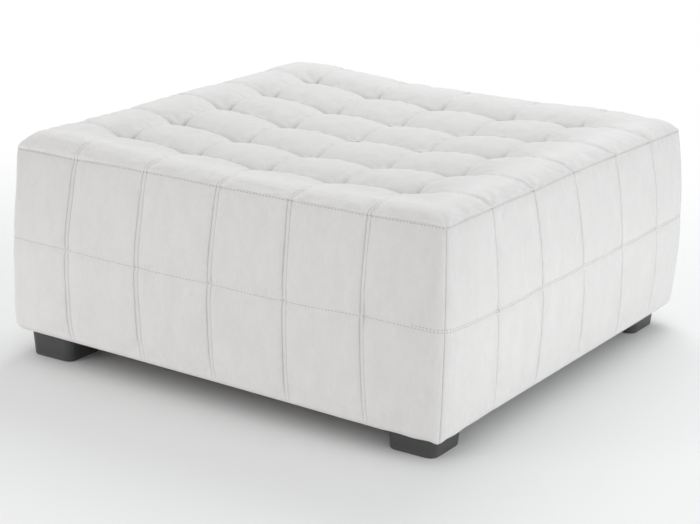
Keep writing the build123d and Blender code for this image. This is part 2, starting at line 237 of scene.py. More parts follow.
# how far a place lies to the right and to the back, from 0 to 1, and its share in each corner by its nearness
def planShares(x, y):
    u, v = unit(x / half / 2 + 0.5), unit(y / half / 2 + 0.5)
    return u, v, np.stack([(1 - u) * (1 - v), u * (1 - v), u * v, (1 - u) * v], axis=-1)


# shift in plan of a place at a height, from those of the corners: one for the top, the middle and the bottom,
# each eased into the next, and none down at the floor
def cornerShift(x, y, z):
    shares = planShares(x, y)[2]
    high, low = eased((z - 0.335) / 0.1), eased((0.18 - z) / 0.11)
    levels = np.stack([high, (1 - high) * (1 - low), low * (1 - high)], axis=-1)
    held = eased((z - 0.051) / 0.016) / 1000
    moved = [shares @ np.transpose(stray[key]) * levels for key in ("cornerX", "cornerY")]
    return np.stack([np.sum(part, axis=-1) * held for part in moved], axis=-1)


# Blender's names for how the velvet stretches, shears, bends and meets the air while it swells
swelling = {
    "quality": 4, "mass": 0.25, "tension_stiffness": 18, "compression_stiffness": 18, "shear_stiffness": 8,
    "bending_stiffness": 0.6, "air_damping": 2.0, "use_pressure": True, "vertex_group_mass": "pinned",
}


# cloth with air pressure on a grid of points: what is pinned stays, the rest swells no further than the cap
def inflate(name, points, pinned, pressure, slack, cap, frames, flip=False):
    rows, cols = points.shape[:2]
    mesh = bpy.data.meshes.new(name)
    faces = gridFaces(rows, cols)
    mesh.from_pydata(points.reshape(-1, 3).tolist(), [], (faces[:, ::-1] if flip else faces).tolist())
    piece = linked(name, mesh)
    group = piece.vertex_groups.new(name="pinned")
    weights = np.round(pinned.ravel() * 20) / 20
    for weight in np.unique(weights[weights > 0]):
        group.add(np.flatnonzero(weights == weight).tolist(), float(weight), "REPLACE")
    cloth = piece.modifiers.new("cloth", "CLOTH")
    for key, value in {**swelling, "uniform_pressure_force": pressure, "shrink_min": -slack}.items():
        setattr(cloth.settings, key, value)
    cloth.settings.effector_weights.gravity = 0.0
    cloth.collision_settings.use_collision = False
    cloth.collision_settings.use_self_collision = False
    cloth.point_cache.frame_end = frames
    for step in range(1, frames + 1):
        bpy.context.scene.frame_set(step)
    swollen = piece.evaluated_get(bpy.context.evaluated_depsgraph_get()).to_mesh()
    moved = np.empty(rows * cols * 3, dtype=np.float32)
    swollen.vertices.foreach_get("co", moved)
    bpy.context.scene.frame_set(1)
    bpy.data.objects.remove(piece)
    bpy.data.meshes.remove(mesh)
    shift = moved.reshape(rows, cols, 3).astype(float) - points
    far = np.linalg.norm(shift, axis=2, keepdims=True)
    print(name, "swelled by", round(float(far.mean()) * 1000, 2), "mm on average")
    return shift * cap * np.tanh(far / cap) / np.maximum(far, 1e-9)


# Helpers for materials. A value is a number, a colour or the output of another node.


def put(socket, value):
    if isinstance(value, bpy.types.NodeSocket):
        socket.id_data.links.new(value, socket)
    else:
        socket.default_value = value


# a node in a tree, or in the tree of an output: its settings, then its inputs by name or number
def node(where, kind, inputs, **settings):
    made = where.id_data.nodes.new("ShaderNode" + kind)
    for key, value in settings.items():
        setattr(made, key, value)
    for key, value in inputs.items():
        put(made.inputs[key], value)
    return made


def treeOf(*values):
    return next(value.id_data for value in values if isinstance(value, bpy.types.NodeSocket))


def maths(operation, *values, clamp=False):
    inputs = dict(enumerate(values))
    return node(treeOf(*values), "Math", inputs, operation=operation, use_clamp=clamp).outputs[0]


def noise(at, scale, detail=2.0, rough=0.5, warp=0.0):
    inputs = {"Vector": at, "Scale": scale, "Detail": detail, "Roughness": rough, "Distortion": warp}
    return node(at, "TexNoise", inputs).outputs["Fac"]


def cells(at, scale, randomness=1.0, feature="F1"):
    inputs = {"Vector": at, "Scale": scale, "Randomness": randomness}
    return node(at, "TexVoronoi", inputs, feature=feature).outputs["Distance"]


def waves(at, scale, warp, detail=2.0, profile="SIN"):
    inputs = {"Vector": at, "Scale": scale, "Distortion": warp, "Detail": detail}
    return node(at, "TexWave", inputs, bands_direction="DIAGONAL", wave_profile=profile).outputs["Fac"]


def mixColours(share, first, second):
    return node(share, "Mix", {0: share, 6: first, 7: second}, data_type="RGBA").outputs[2]


def scaled(colour, shade):
    inputs = {0: colour, "Scale": shade}
    return node(treeOf(colour, shade), "VectorMath", inputs, operation="SCALE").outputs["Vector"]


# a node group: its inputs by their first values, where None stands for a vector, and three outputs
def newGroup(name, inputs):
    group = bpy.data.node_groups.new(name, "ShaderNodeTree")
    for label, value in inputs.items():
        kind = "Vector" if value is None else "Color" if isinstance(value, tuple) else "Float"
        socket = group.interface.new_socket(label, in_out="INPUT", socket_type="NodeSocket" + kind)
        if value is not None:
            socket.default_value = value
    for label, kind in (("Colour", "Color"), ("Roughness", "Float"), ("Height", "Float")):
        group.interface.new_socket(label, in_out="OUTPUT", socket_type="NodeSocket" + kind)
    return group, group.nodes.new("NodeGroupInput").outputs, group.nodes.new("NodeGroupOutput").inputs


# a material, the inputs of its shader, and the place on the object
def startMaterial(name):
    material = bpy.data.materials.new(name)
    material.use_nodes = True
    tree = material.node_tree
    return material, tree.nodes["Principled BSDF"].inputs, node(tree, "TexCoord", {}).outputs["Object"]


# what the patterns give goes into the shader, and an even value onto the shader's own socket
def finish(shader, colour, roughness, height=None, strength=0.5, depth=0.0003, **even):
    for key, value in {"Base Color": colour, "Roughness": roughness, **even}.items():
        put(shader[key], value)
    if height is not None:
        bump = node(height, "Bump", {"Strength": strength, "Distance": depth, "Height": height})
        put(shader["Normal"], bump.outputs["Normal"])


# velvet nap: broad patches where the pile leans another way, small flecks, and the pile itself; then the
# painted shade darkens the colour, and paints light where it is below 0
def makeNapAndShadeGroup():
    group, take, give = newGroup("velvetNapAndShade", {
        "Vector": None, "Colour": (0.8, 0.8, 0.8, 1), "Patch Scale": 18.0, "Patch Contrast": 0.05,
        "Fleck Scale": 160.0, "Fleck Contrast": 0.03, "Painted Shade": 0.0, "Painted Shade Strength": 0.15})
    patch = noise(take["Vector"], take["Patch Scale"], 3.0, 0.6, 0.6)
    fleck = noise(take["Vector"], take["Fleck Scale"], 2.0, 0.7)
    pile = noise(take["Vector"], maths("MULTIPLY", take["Fleck Scale"], 9.0), 1.0, 0.8)
    pileContrast = maths("MULTIPLY", take["Fleck Contrast"], 1.4)
    pairs = ((patch, take["Patch Contrast"]), (fleck, take["Fleck Contrast"]), (pile, pileContrast))
    lean = [maths("MULTIPLY", maths("SUBTRACT", pattern, 0.5), contrast) for pattern, contrast in pairs]
    lean = maths("ADD", maths("ADD", lean[0], lean[1]), lean[2])
    # painted shade: the colour is darkened by the painted shade, and lightened where it is below 0
    lit = maths("SUBTRACT", maths("ADD", lean, 1.0), maths("MULTIPLY", take["Painted Shade"], take["Painted Shade Strength"]))
    put(give["Colour"], scaled(take["Colour"], lit))
    put(give["Roughness"], maths("MULTIPLY_ADD", lean, 1.2, 0.86, clamp=True))
    put(give["Height"], maths("MULTIPLY_ADD", pile, 0.7, fleck))
    return group


napAndShadeGroup = makeNapAndShadeGroup()
velvet = {
    "nap": {"Colour": (0.765, 0.752, 0.744, 1), "Patch Scale": 34.0, "Patch Contrast": 0.13,
            "Fleck Scale": 190.0, "Fleck Contrast": 0.08},
    "bump": 0.25, "bumpDepth": 0.0006,
    "shader": {"Sheen Weight": 0.45, "Sheen Roughness": 0.35, "Specular IOR Level": 0.2},
}


def velvetMaterial(name, stretch, paintedShadeStrength):
    material, shader, place = startMaterial(name)
    at = node(place, "Mapping", {"Vector": place, "Scale": (1.0, 1.0, stretch)}).outputs["Vector"]
    # the painted shade at each point, which the mesh carries
    paintedShade = node(place, "Attribute", {}, attribute_name="paintedShade").outputs["Fac"]
    inputs = {**velvet["nap"], "Vector": at, "Painted Shade": paintedShade, "Painted Shade Strength": paintedShadeStrength}
    nap = node(place, "Group", inputs, node_tree=napAndShadeGroup).outputs
    finish(shader, nap["Colour"], nap["Roughness"], nap["Height"], velvet["bump"], velvet["bumpDepth"],
           **velvet["shader"])
    return material


sideVelvet = velvetMaterial("velvet", 0.42, 0.22)
topVelvet = velvetMaterial("velvetTop", 1.0, 0.42)
print("velvet made")

# Side covers

cover = {
    "columns": (0.0009, 0.0045, 12),    # finest and widest step along a side, and turns round its corners
    "rows": (0.001, 0.0048),
    "stripHalf": 0.0038,                # half the distance between the two stitch lines of an upright seam
    "lineDepth": 0.0012, "lineWidth": 0.0009,
    "lineShares": [(1.0, 1.0), (0.35, 1.0), (1.0, 1.0), (1.0, 0.5)],   # left and right line of each seam
    "seamDip": 0.0012, "seamReach": 0.014,
    "puff": 0.0014,
    "middleDepth": 0.0012, "middleReach": 0.011, "stitchDip": 0.0004, "stitchReach": 0.0010,
    "middleGap": 0.0024,                # half the distance between its two rows of stitches
    "cornerDepth": 0.0010, "cornerReach": 0.0018, "cornerShade": 0.35,
    "topTuck": [0.0003, 0.0010, 0.0008, 0.0008], "topReach": 0.006,
    # painted shade along the top stitch line, and painted light where it is below 0
    "topShade": [-0.08, 0.0, 0.0, 0.0],
    # painted shade over 0 and painted light under it: by the height, by the place along a side, and by that
    # place once more towards the top
    "paintedShadeHeights": [0.05, 0.08, 0.14, 0.25, 0.33, 0.40, 0.424],
    "paintedShadeByHeight": [[-0.42, -0.28, -0.10, -0.02, 0, 0.02, 0.06], [-0.27, -0.19, -0.16, -0.13, 0.03, 0.11, 0.27],
                  [-0.35, -0.25, -0.12, -0.05, 0, 0.05, 0.15], [-0.35, -0.25, -0.12, -0.05, 0, 0.05, 0.15]],
    "paintedShadeAlong": [[0, 0, 0, 0, 0, 0.02, 0.2], [0.14, -0.03, -0.03, -0.03, -0.03, -0.02, 0],
                 [0, 0, 0.04, 0, -0.03, 0, 0.05], [0, 0.03, 0, -0.03, 0, 0, 0.04]],
    "paintedShadeTop": [[0.32, 0.17, 0.03, 0.02, 0.02, 0, 0.05], [0, 0, 0.01, 0.02, 0, 0, -0.02],
               [0.02, 0, 0.05, 0, 0, 0.04, 0.1], [0.08, 0.03, 0, 0, 0.02, 0, 0]],
    "hem": 0.047, "hemAtFoot": 0.0042, "footEdge": 0.3592, "hemFade": 0.016,
    "ripple": 0.0007,
    "dents": [(0.9, 14, 9, 0), (0.45, 34, 22, 0), (0.2, 120, 40, 3)],   # share, waves along and up, start
    "uneven": 0.0009, "hold": 0.0045, "swellFade": 0.062,
    "simStep": 0.0085, "inflate": {"pressure": 2.4, "slack": 0.01, "cap": 0.0040, "frames": 20},
    "tucks": ((0.003, 0.0010), (0.0007, 0.0004)),   # how far the top edge goes in and down under the quilt
}


# how far the middle of a side stands out at a height: a parabola with its top at the widest level
def swell(z):
    below = (topSeam - np.maximum(z, foldTop) - block["widestDrop"]) / block["widestDrop"]
    return block["swell"] * (1 - below**2)


foldCorner = half + block["cornerSwell"] * swell(foldTop)      # where a corner stands at the fold


# outline of the front side at heights z, drawn in by an amount: a shallow parabola between the corners, then
# a quarter circle up to its 45 degree point; x is fixed along the side and angle runs round the corner
def sideOutline(x, angle, z, inward=0.0):
    out = swell(z)[:, None]
    corner = half + block["cornerSwell"] * out - inward
    radius = block["cornerRadius"] + block["cornerRound"] * out - inward
    reach = corner - radius
    bowed = (block["bow"] + (1 - block["cornerSwell"]) * out) * (1 - np.minimum(np.abs(x) / reach, 1) ** 2)
    onArc = angle > 0
    px = np.where(onArc, np.sign(x) * (reach + radius * np.sin(angle)), x)
    py = np.where(onArc, reach + radius * np.cos(angle), corner + bowed)
    return xyz(px, -py, z[:, None])


def sideColumns(fine, coarse, turns, more=()):
    reach = half - block["cornerRadius"]
    x = np.sort(np.concatenate([seamGrid(-reach, reach, seamPlaces, fine, coarse, block["fineReach"]), more]))
    arc = np.linspace(0, math.pi / 4, turns)[1:]
    columns = np.concatenate([np.full(arc.size, -reach), x, np.full(arc.size, reach)])
    return columns, np.concatenate([arc[::-1], np.zeros(x.size), arc])


def sideRows(fine, coarse):
    lines = np.array([middleSeam - cover["middleGap"], middleSeam + cover["middleGap"], topSeam])
    return seamGrid(foldTop, topSeam, lines, fine, coarse, 0.004)[::-1]


# the uprights of a side as the cloth lies after it has swelled between its seams
def swollenSide(x, angle, z, quarter):
    upright = sideOutline(x, angle, z)
    step = cover["simStep"]
    cx, cAngle = sideColumns(step, step, 4)
    cz = sideRows(step, step)
    start = sideOutline(cx, cAngle, cz)
    held = np.where(nearest(cx) < cover["hold"], 0.7, 0.0) * np.ones((cz.size, 1))
    held[np.abs(cz - middleSeam) < cover["hold"]] = 0.6
    held[[0, -1]] = held[:, cAngle > 0] = 1.0
    # each side's cloth has its own slight unevenness, so that no two swell alike
    start[..., 1] += cover["uneven"] * softNoise(cx * 18 + 50 + 7 * quarter, cz[:, None] * 11, 60 + quarter)
    shift = inflate("cloth_" + sideNames[quarter], start, held, **cover["inflate"])
    places, coarse = (line + np.sign(line) * turn * 0.02 for line, turn in ((x, angle), (cx, cAngle)))
    fade = eased((half - block["cornerRadius"] - np.abs(x)) / cover["swellFade"])
    return upright + resample(resample(shift, -cz, -z), coarse, places, 1) * fade[:, None]


# outside of a side cover: uprights, then a quarter circle under, then the flat hem
def coverSurface(quarter):
    edge, fold = cover["footEdge"], block["foldRadius"]
    x, angle = sideColumns(*cover["columns"], [-edge - 0.0002, -edge, edge, edge + 0.0002])
    z = sideRows(*cover["rows"])
    upright = swollenSide(x, angle, z, quarter)
    turn = np.linspace(0, math.pi / 2, 11)[1:]
    folded = np.array([sideOutline(x, angle, np.array([foldTop]), fold * (1 - math.cos(t)))[0] for t in turn])
    folded[..., 2] = (foldTop - fold * np.sin(turn))[:, None]
    depth = np.where(np.abs(x) > edge + 0.0001, cover["hemAtFoot"], cover["hem"])
    shares = np.linspace(0, 1, 8)[1:, None]
    hem = np.repeat(folded[-1:], shares.size, axis=0)
    hem[..., :2] *= (1 - shares * depth / (foldCorner - fold))[..., None]
    return np.concatenate([upright, folded, hem]), x, angle, z


# the sewn relief of a side: a raised strip between two stitch lines at each upright seam, crowned panels
# between them, the middle seam drawn in with its rows of stitches, and the corner seam; and painted shade
# along the stitch lines and the corner seam, with painted shade and light by height and place
def coverRelief(points, x, angle, quarter):
    near, height = nearest(x), points[..., 2]
    away, strip = x[:, None] - seamPlaces, cover["stripHalf"]
    line = sum(share * bell(away - place, cover["lineWidth"]).max(axis=1)
               for share, place in zip(cover["lineShares"][quarter], (-strip, strip)))
    puff = cover["puff"] * np.sin(unit(near / (block["pitch"] / 2)) * math.pi / 2) ** 1.5
    puff *= np.where(np.abs(x) > seamPlaces[-1], np.where(angle > 0, 0, unit((half - np.abs(x)) / 0.05)), 1)
    hemFade = unit((height - foldTop) / cover["hemFade"] + 1)
    relief = (puff - cover["seamDip"] * bell(near, cover["seamReach"]) - cover["lineDepth"] * line) * hemFade
    # painted shade along the stitch lines
    paintedShade = line * hemFade
    # the front shows the lower row of the middle seam only
    up = height - middleSeam
    stitched = bell((up if quarter == 0 else -np.abs(up)) + cover["middleGap"], cover["stitchReach"])
    relief -= cover["middleDepth"] * bell(up, cover["middleReach"]) + cover["stitchDip"] * stitched
    # the top edge is drawn in towards the stitch line
    down = topSeam - height
    relief -= cover["topTuck"][quarter] * bell(down, cover["topReach"]) * (height > foldTop)
    # painted shade along the stitch line, painted light where its value is below 0
    paintedShade += cover["topShade"][quarter] * bell(down, 0.0013)
    # the corner seam, by the distance to it along the arc, with painted shade along it
    gap = (block["cornerRadius"] + block["cornerRound"] * swell(height)) * (math.pi / 4 - angle)
    onCorner = (angle > 0) * hemFade
    relief -= cover["cornerDepth"] * bell(gap, cover["cornerReach"]) * onCorner
    paintedShade += cover["cornerShade"] * bell(gap, 0.0010) * onCorner
    # painted shade and light: by the height, by the place along the side, and by that place once more towards
    # the top
    paintedShade += np.interp(height, cover["paintedShadeHeights"], cover["paintedShadeByHeight"][quarter])
    paintedShade += resample(cover["paintedShadeAlong"][quarter], stops, x)
    paintedShade += np.interp(height, [0.2, 0.42], [0, 1]) * resample(cover["paintedShadeTop"][quarter], stops, x)
    # soft dents in the foam
    dents = sum(share * softNoise(x * along + 50, height * upward + start, 11 + quarter + 20 * k)
                for k, (share, along, upward, start) in enumerate(cover["dents"]))
    relief += cover["ripple"] * dents * np.where(angle > 0, 0.3, 1) * hemFade * (1 - bell(down, 0.02))
    return relief, np.clip(paintedShade, -1, 1)


# a side's rows led away from the plan: seams that lean, the stitch line that rises and falls, the corners
# that shift, and at the front right corner a tip of cloth that hangs down
def ledAstray(rows, x, quarter):
    rows, height = rows.copy(), rows[..., 2].copy()
    inward = unit((np.abs(rows[..., 1]) - 0.465) / 0.012)
    # each seam is a parabola through its places at three levels
    levels = {"seamTop": topSeam, "seamMiddle": middleSeam, "seamLow": 0.08}
    for key, level in levels.items():
        a, b = (other for other in levels.values() if other != level)
        share = (height - a) * (height - b) / (level - a) / (level - b)
        rows[..., 0] += strayAt(key, quarter, x) * share * inward
    above = unit((height - middleSeam) / (topSeam - middleSeam))
    low = eased((0.17 - height) / 0.10)
    rows[..., 2] += strayAt("rimRise", quarter, x) * above**1.5
    rows[..., 2] += strayAt("middleRise", quarter, x) * bell(height - middleSeam, 0.06)
    rows[..., 2] -= strayAt("hemDrop", quarter, x) * low * inward
    rows = turned(rows, quarter)
    corner = foldCorner - 0.006
    far = np.hypot(rows[..., 0] - corner, rows[..., 1] + corner) * 1000
    ripple = stray["wave"] * np.sin(far * 0.085) * bell(far, stray["waveReach"]) * inward
    rows[..., 2] += (ripple - stray["hang"] * bell(far, stray["hangReach"])) * low / 1000
    rows[..., :2] += cornerShift(rows[..., 0], rows[..., 1], height)
    return rows


# both ends of every row brought onto the 45 degree plane of the corner
def squareMitre(rows):
    for side in (0, -1):
        reach = np.abs(rows[:, side, :2]).mean(axis=-1)
        rows[:, side, 0] = np.sign(rows[:, side, 0]) * reach
        rows[:, side, 1] = -reach


# a side cover: outside, then its inner wall a cloth's thickness in, as one closed loop of rows
def makeCover(quarter):
    points, x, angle, z = coverSurface(quarter)
    relief, paintedShade = coverRelief(points, x, angle, quarter)
    normal = gridNormals(points)
    outer = points + normal * relief[..., None]
    keep = np.unique(np.r_[np.arange(0, z.size, 9), np.arange(z.size, len(points), 3), len(points) - 1])
    inner = points[keep] - normal[keep] * block["cloth"]
    inner[..., 2] = np.maximum(inner[..., 2], foldTop - block["foldRadius"] + block["cloth"])
    tuck = [outer[0] - normal[0] * inward - [0, 0, lower] for inward, lower in cover["tucks"]]
    loop = np.concatenate([tuck, outer, inner[::-1]])
    squareMitre(loop)
    led = ledAstray(loop, x, quarter)
    # the tucked rows carry the painted shade of the top edge, the inner wall none
    shade = [np.full((2, x.size), cover["topShade"][quarter]), paintedShade, np.zeros(inner.shape[:2])]
    side = sideNames[quarter]
    piece = meshPiece("cover_" + side, led, loopFaces(*loop.shape[:2]), sideVelvet, np.concatenate(shade))
    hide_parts("side_cover_" + side)
    return led[2:2 + len(outer)], x, z


covers = [makeCover(quarter) for quarter in range(4)]
print("side covers made")

# Stitches

thread = {
    "length": 0.0037, "pitch": 0.0070, "width": 0.0013, "height": 0.0011,
    "fromTop": 0.0024,          # top row under the stitch line
    "upperFrom": 0.425,         # where the upper row of the middle seam starts on the front
    "cornerGap": 0.001, "proud": 0.12,
    "colour": (0.50, 0.475, 0.462), "plies": 900.0, "roughness": 0.7,
}


def threadMaterial():
    material, shader, place = startMaterial("thread")
    ply = waves(place, thread["plies"], 1.0)
    colour = scaled(thread["colour"], maths("MULTIPLY_ADD", ply, 0.35, 0.8))
    finish(shader, colour, thread["roughness"], ply, 0.4, 0.0002)
    return material


threadFibre = threadMaterial()


# a stitch is a bar of five rings of six points, thin at its ends; every stitch of a row is set at once
def layStitches(at, along, out):
    lengths = np.array([-0.5, -0.38, 0, 0.38, 0.5])[:, None, None, None] * thread["length"]
    girths = np.array([0.35, 0.85, 1, 0.85, 0.35])[:, None, None, None]
    turn = np.arange(6)[:, None, None] * math.pi / 3
    ring = np.cos(turn) * np.cross(along, out) * thread["width"] + np.sin(turn) * out * thread["height"]
    return np.moveaxis(at + lengths * along + girths * ring / 2, 2, 0)      # stitch, ring, corner, xyz


# places, directions and normals of stitches along one height of a side, from a place on it up to the corner
# seam; they keep their pitch along the cloth, round the corners too
def rowOfStitches(side, height, start):
    surface, x, z = side
    parts = (surface, gridNormals(surface))
    level, normal = (resample(part[:z.size], -z, np.array([-height]))[0] for part in parts)
    length = np.concatenate([[0], np.cumsum(np.linalg.norm(np.diff(level, axis=0), axis=1))])
    first = thread["cornerGap"] if start is None else np.interp(start, x, length)
    span = length[-1] - thread["cornerGap"] - first
    count = round(span / thread["pitch"])
    places = first + (np.arange(count) + 0.5) * span / count
    at, out, along = (np.stack([np.interp(places, length, part[:, k]) for k in range(3)], axis=1)
                      for part in (level, normal, np.gradient(level, axis=0)))
    along = normed(along)
    out = normed(out - along * np.sum(out * along, axis=1, keepdims=True))
    return at + out * thread["height"] * thread["proud"], along, out


def makeStitches(quarter):
    gap, upperFrom = cover["middleGap"], thread["upperFrom"] if quarter == 0 else None
    places = ((topSeam - thread["fromTop"], None), (middleSeam + gap, upperFrom), (middleSeam - gap, None))
    rows = [rowOfStitches(covers[quarter], height, start) for height, start in places]
    points = layStitches(*(np.concatenate(part) for part in zip(*rows)))
    piece = meshPiece("stitches_" + sideNames[quarter], points, barFaces(len(points), 5), threadFibre)


for quarter in range(4):
    makeStitches(quarter)
print("stitches made")

# Quilted top

quilt = {
    # turns of the roll, finest and widest step
    "line": (22, 0.0011, 0.0046), "simLine": (9, 0.0068, 0.0068),
    # the crown of the biscuits over the stitch line, in mm, with its powers across and along the top
    "crown": [(-0.6, 0, 0), (17.9, 2, 0), (10.4, 0, 2), (-6.5, 2, 2), (-7.0, 1, 0), (-0.9, 0, 1),
              (-0.8, 1, 1)],
    "plump": 9.0,             # the back right corner stands fuller than the others
    # mm under the crown: the seams between biscuits, which run out over the rolled edge, and the tufts
    "seamDepth": 15.3, "seamSteepness": 3.5, "runOut": 0.080, "runOutLeast": 0.18,
    "shallow": 0.7,           # share that the front to back seams lose between two tufts
    "tuftDepth": 7.4, "tuftAcross": -4.0, "tuftSpread": 0.8,
    "lowest": -18.0, "softness": 3, "roll": 0.0480,
    # the clefts, and last the share of painted light in the front to back valleys
    "cleft": 0.0028, "cleftWidth": 0.0013, "cleftFade": 0.024, "cleftLeast": 0.0003, "valleyPaintedLight": 0.08,
    "stripHalf": 0.0034, "lineDepth": 0.0009, "lineWidth": 0.0009, "lineFade": 0.030,
    "tucks": ((0.0005, 0.0003), (0.0060, 0.0016)), "underside": 0.405, "undersideIn": 0.0075,
    # painted light over the roll and painted shade near the stitch line, for the front, right, back and left
    "rollPaintedLight": [0.20, 0.19, 0.12, 0.12], "rimPaintedShade": [0, 0.12, 0.05, 0.05],
    "wrinkle": 0.0004, "rollWrinkle": 0.0012,
    "startLow": 2.2, "inflate": {"pressure": 4.0, "slack": 0.015, "cap": 0.0026, "frames": 20},
}
# how far each tuft is pulled aside, in mm: rows from the front to the back edge, columns from left to right
tuftPull = np.array([
    [0, 3, 5, 7, -1, 0, 0], [0, -2, -4, -6, -3, -7, 0], [0, 1, -4, -3, -4, -5, 0], [0, -3, -5, -5, -7, -9, 0],
    [0, 0, -3, -7, -6, -7, 0], [0, 0, -3, -6, -2, -3, 0], [0, 0, 0, 0, 0, 0, 0],
])


# height of the quilt over the stitch line: the crown, less a power of the nearness to the seams and to the
# tufts, held over its lowest level, times the quarter circle of the rolled edge from both sides
def quiltHeight(x, y, slim):
    outer = seamPlaces[-1]
    across, along = np.clip(x / outer, -1.1, 1.1), np.clip(y / outer, -1.1, 1.1)
    shareX, shareY = (unit(nearest(p) / (block["pitch"] / 2)) for p in (x, y))
    nearX, nearY = ((1 - share) ** quilt["seamSteepness"] for share in (shareX, shareY))
    nearX *= 1 - quilt["shallow"] * eased(shareY / 0.75)
    body = sum(size * across**a * along**b for size, a, b in quilt["crown"])
    body -= slim * quilt["startLow"] * (1 - nearX) * (1 - nearY)
    body += quilt["plump"] * eased((x / half - 0.78) / 0.2) * eased((y / half - 0.78) / 0.2)
    for near, p in ((nearX, y), (nearY, x)):
        runOut = 1 - (1 - quilt["runOutLeast"]) * eased((np.abs(p) - outer) / quilt["runOut"])
        body -= quilt["seamDepth"] * near * runOut
    tuft = quilt["tuftDepth"] + quilt["tuftAcross"] * np.minimum(across**2, 1)
    body -= tuft * ((1 - shareX) * (1 - shareY)) ** quilt["tuftSpread"]
    body = quilt["lowest"] + quilt["softness"] * np.logaddexp(0, (body - quilt["lowest"]) / quilt["softness"])
    for p in (x, y):
        body *= np.sqrt(1 - (1 - unit((half - np.abs(p)) / quilt["roll"])) ** 2)
    return body / 1000


# plan of the top: a square grid whose outermost rings get the block's round corners and its bowed sides
def quiltPlan(x, y):
    dx, dy = half - np.abs(x), half - np.abs(y)
    ring = np.minimum(dx, dy)
    radius = block["cornerRadius"] * unit(1 - ring / 0.06) ** 2
    bend = math.pi / 4 * unit(1 - (np.maximum(dx, dy) - ring) / np.maximum(radius, 1e-9))
    near, far = ring + radius * (1 - np.cos(bend)), ring + radius * (1 - np.sin(bend))
    beside, turning = dx <= dy, bend > 0
    px = np.sign(x) * (half - np.where(turning, np.where(beside, near, far), dx))
    py = np.sign(y) * (half - np.where(turning, np.where(beside, far, near), dy))
    reach = half - block["cornerRadius"]
    bowX, bowY = (np.sign(p) * block["bow"] * (1 - unit(np.abs(q) / reach) ** 2) * (np.abs(p) / half) ** 8
                  for p, q in ((px, py), (py, px)))
    return px + bowX, py + bowY


# rise of the stitch line carried over the top, each side's fading towards the side across from it
def rimRise(x, y):
    u, v, shares = planShares(x, y)
    front, right, back, left = (strayAt("rimRise", side, p) for side, p in enumerate((x, y, -x, -y)))
    flat = shares @ [row[0] / 1000 for row in stray["rimRise"]]
    return (1 - v) * front + v * back + (1 - u) * left + u * right - flat


# the grid and the points of the top: its plan, the tufts pulled aside, the seams led to those of the sides
def quiltBase(line, slim):
    x, y = np.meshgrid(line, line)
    px, py = quiltPlan(x, y)
    shift = cornerShift(px, py, topSeam) * (unit(1 - fromEdge(x, y) / 0.10) ** 2)[..., None]
    pull = resample(resample(tuftPull / 1000, stops, line), stops, line, 1)
    frontBack, leftRight = (unit(1 - (half - np.abs(p)) / 0.12) ** 2 for p in (y, x))
    seamX = np.where(y < 0, strayAt("seamTop", 0, x), -strayAt("seamTop", 2, -x))
    seamY = np.where(x > 0, strayAt("seamTop", 1, y), -strayAt("seamTop", 3, -y))
    px = px + pull * (1 - frontBack) + seamX * frontBack
    points = xyz(px, py + seamY * leftRight, topSeam + rimRise(x, y) + quiltHeight(x, y, slim))
    points[..., :2] += shift
    return x, y, points


# one of four values, for the front, right, back and left of the top, blended over its diagonals
def besideEach(values, x, y):
    share = eased((np.abs(x) - np.abs(y)) / 0.04 + 0.5)
    return (1 - share) * np.where(y < 0, values[0], values[2]) + share * np.where(x > 0, values[1], values[3])


# the sewn relief: a cleft along each seam, deep at the tufts, two fine lines of stitches beside the seams
# that fade away from the tufts and come back on the rolled edge, and soft folds along that edge; and painted
# shade in the clefts and along the lines
def quiltRelief(x, y):
    nearX, nearY, edge = nearest(x), nearest(y), fromEdge(x, y)
    tuft, near = np.hypot(nearX, nearY), np.minimum(nearX, nearY)
    inside, onRoll = unit((edge - 0.030) / 0.030), unit((0.060 - edge) / 0.03)
    depth = quilt["cleftLeast"] + (quilt["cleft"] - quilt["cleftLeast"]) * bell(tuft, quilt["cleftFade"])
    cleft = depth * bell(near, quilt["cleftWidth"]) * inside
    share = np.maximum(onRoll, 0.8 * bell(tuft, quilt["lineFade"]))
    line = bell(np.stack([nearX, nearY]) - quilt["stripHalf"], quilt["lineWidth"]).max(axis=0) * share
    relief = -cleft - quilt["lineDepth"] * line - 0.0008 * bell(near, 0.012) * onRoll
    crown = unit(near / 0.02)
    broad, fine = (softNoise(x * scale + 40, y * scale + 40, seed) for scale, seed in ((22, 5), (60, 6)))
    relief += quilt["wrinkle"] * crown * (broad + 0.45 * fine)
    along = np.where(np.abs(x) > np.abs(y), y, x)
    folds = softNoise(along * 8 + 30, edge * 110 + along * 4 + 7, 8)
    relief += quilt["rollWrinkle"] * bell(edge - 0.014, 0.013) * crown * folds
    # painted shade in the clefts and along the lines of stitches, and painted light that makes the front to
    # back valleys a little paler between the tufts
    valley = bell(nearX, 0.014) * (1 - bell(nearY, 0.03)) * inside
    paintedShade = 0.6 * line + cleft / quilt["cleft"] - quilt["valleyPaintedLight"] * valley
    # the painted shade of the sides' top edges, here painted light on the front
    paintedShade += besideEach(cover["topShade"], x, y) * bell(edge, 0.0015)
    # painted light over the roll, and painted shade near the stitch line
    paintedShade -= besideEach(quilt["rollPaintedLight"], x, y) * bell(edge - 0.053, 0.031)
    paintedShade += besideEach(quilt["rimPaintedShade"], x, y) * bell(edge, 0.014)
    return relief * unit(edge / 0.004), np.clip(paintedShade, -1, 1)


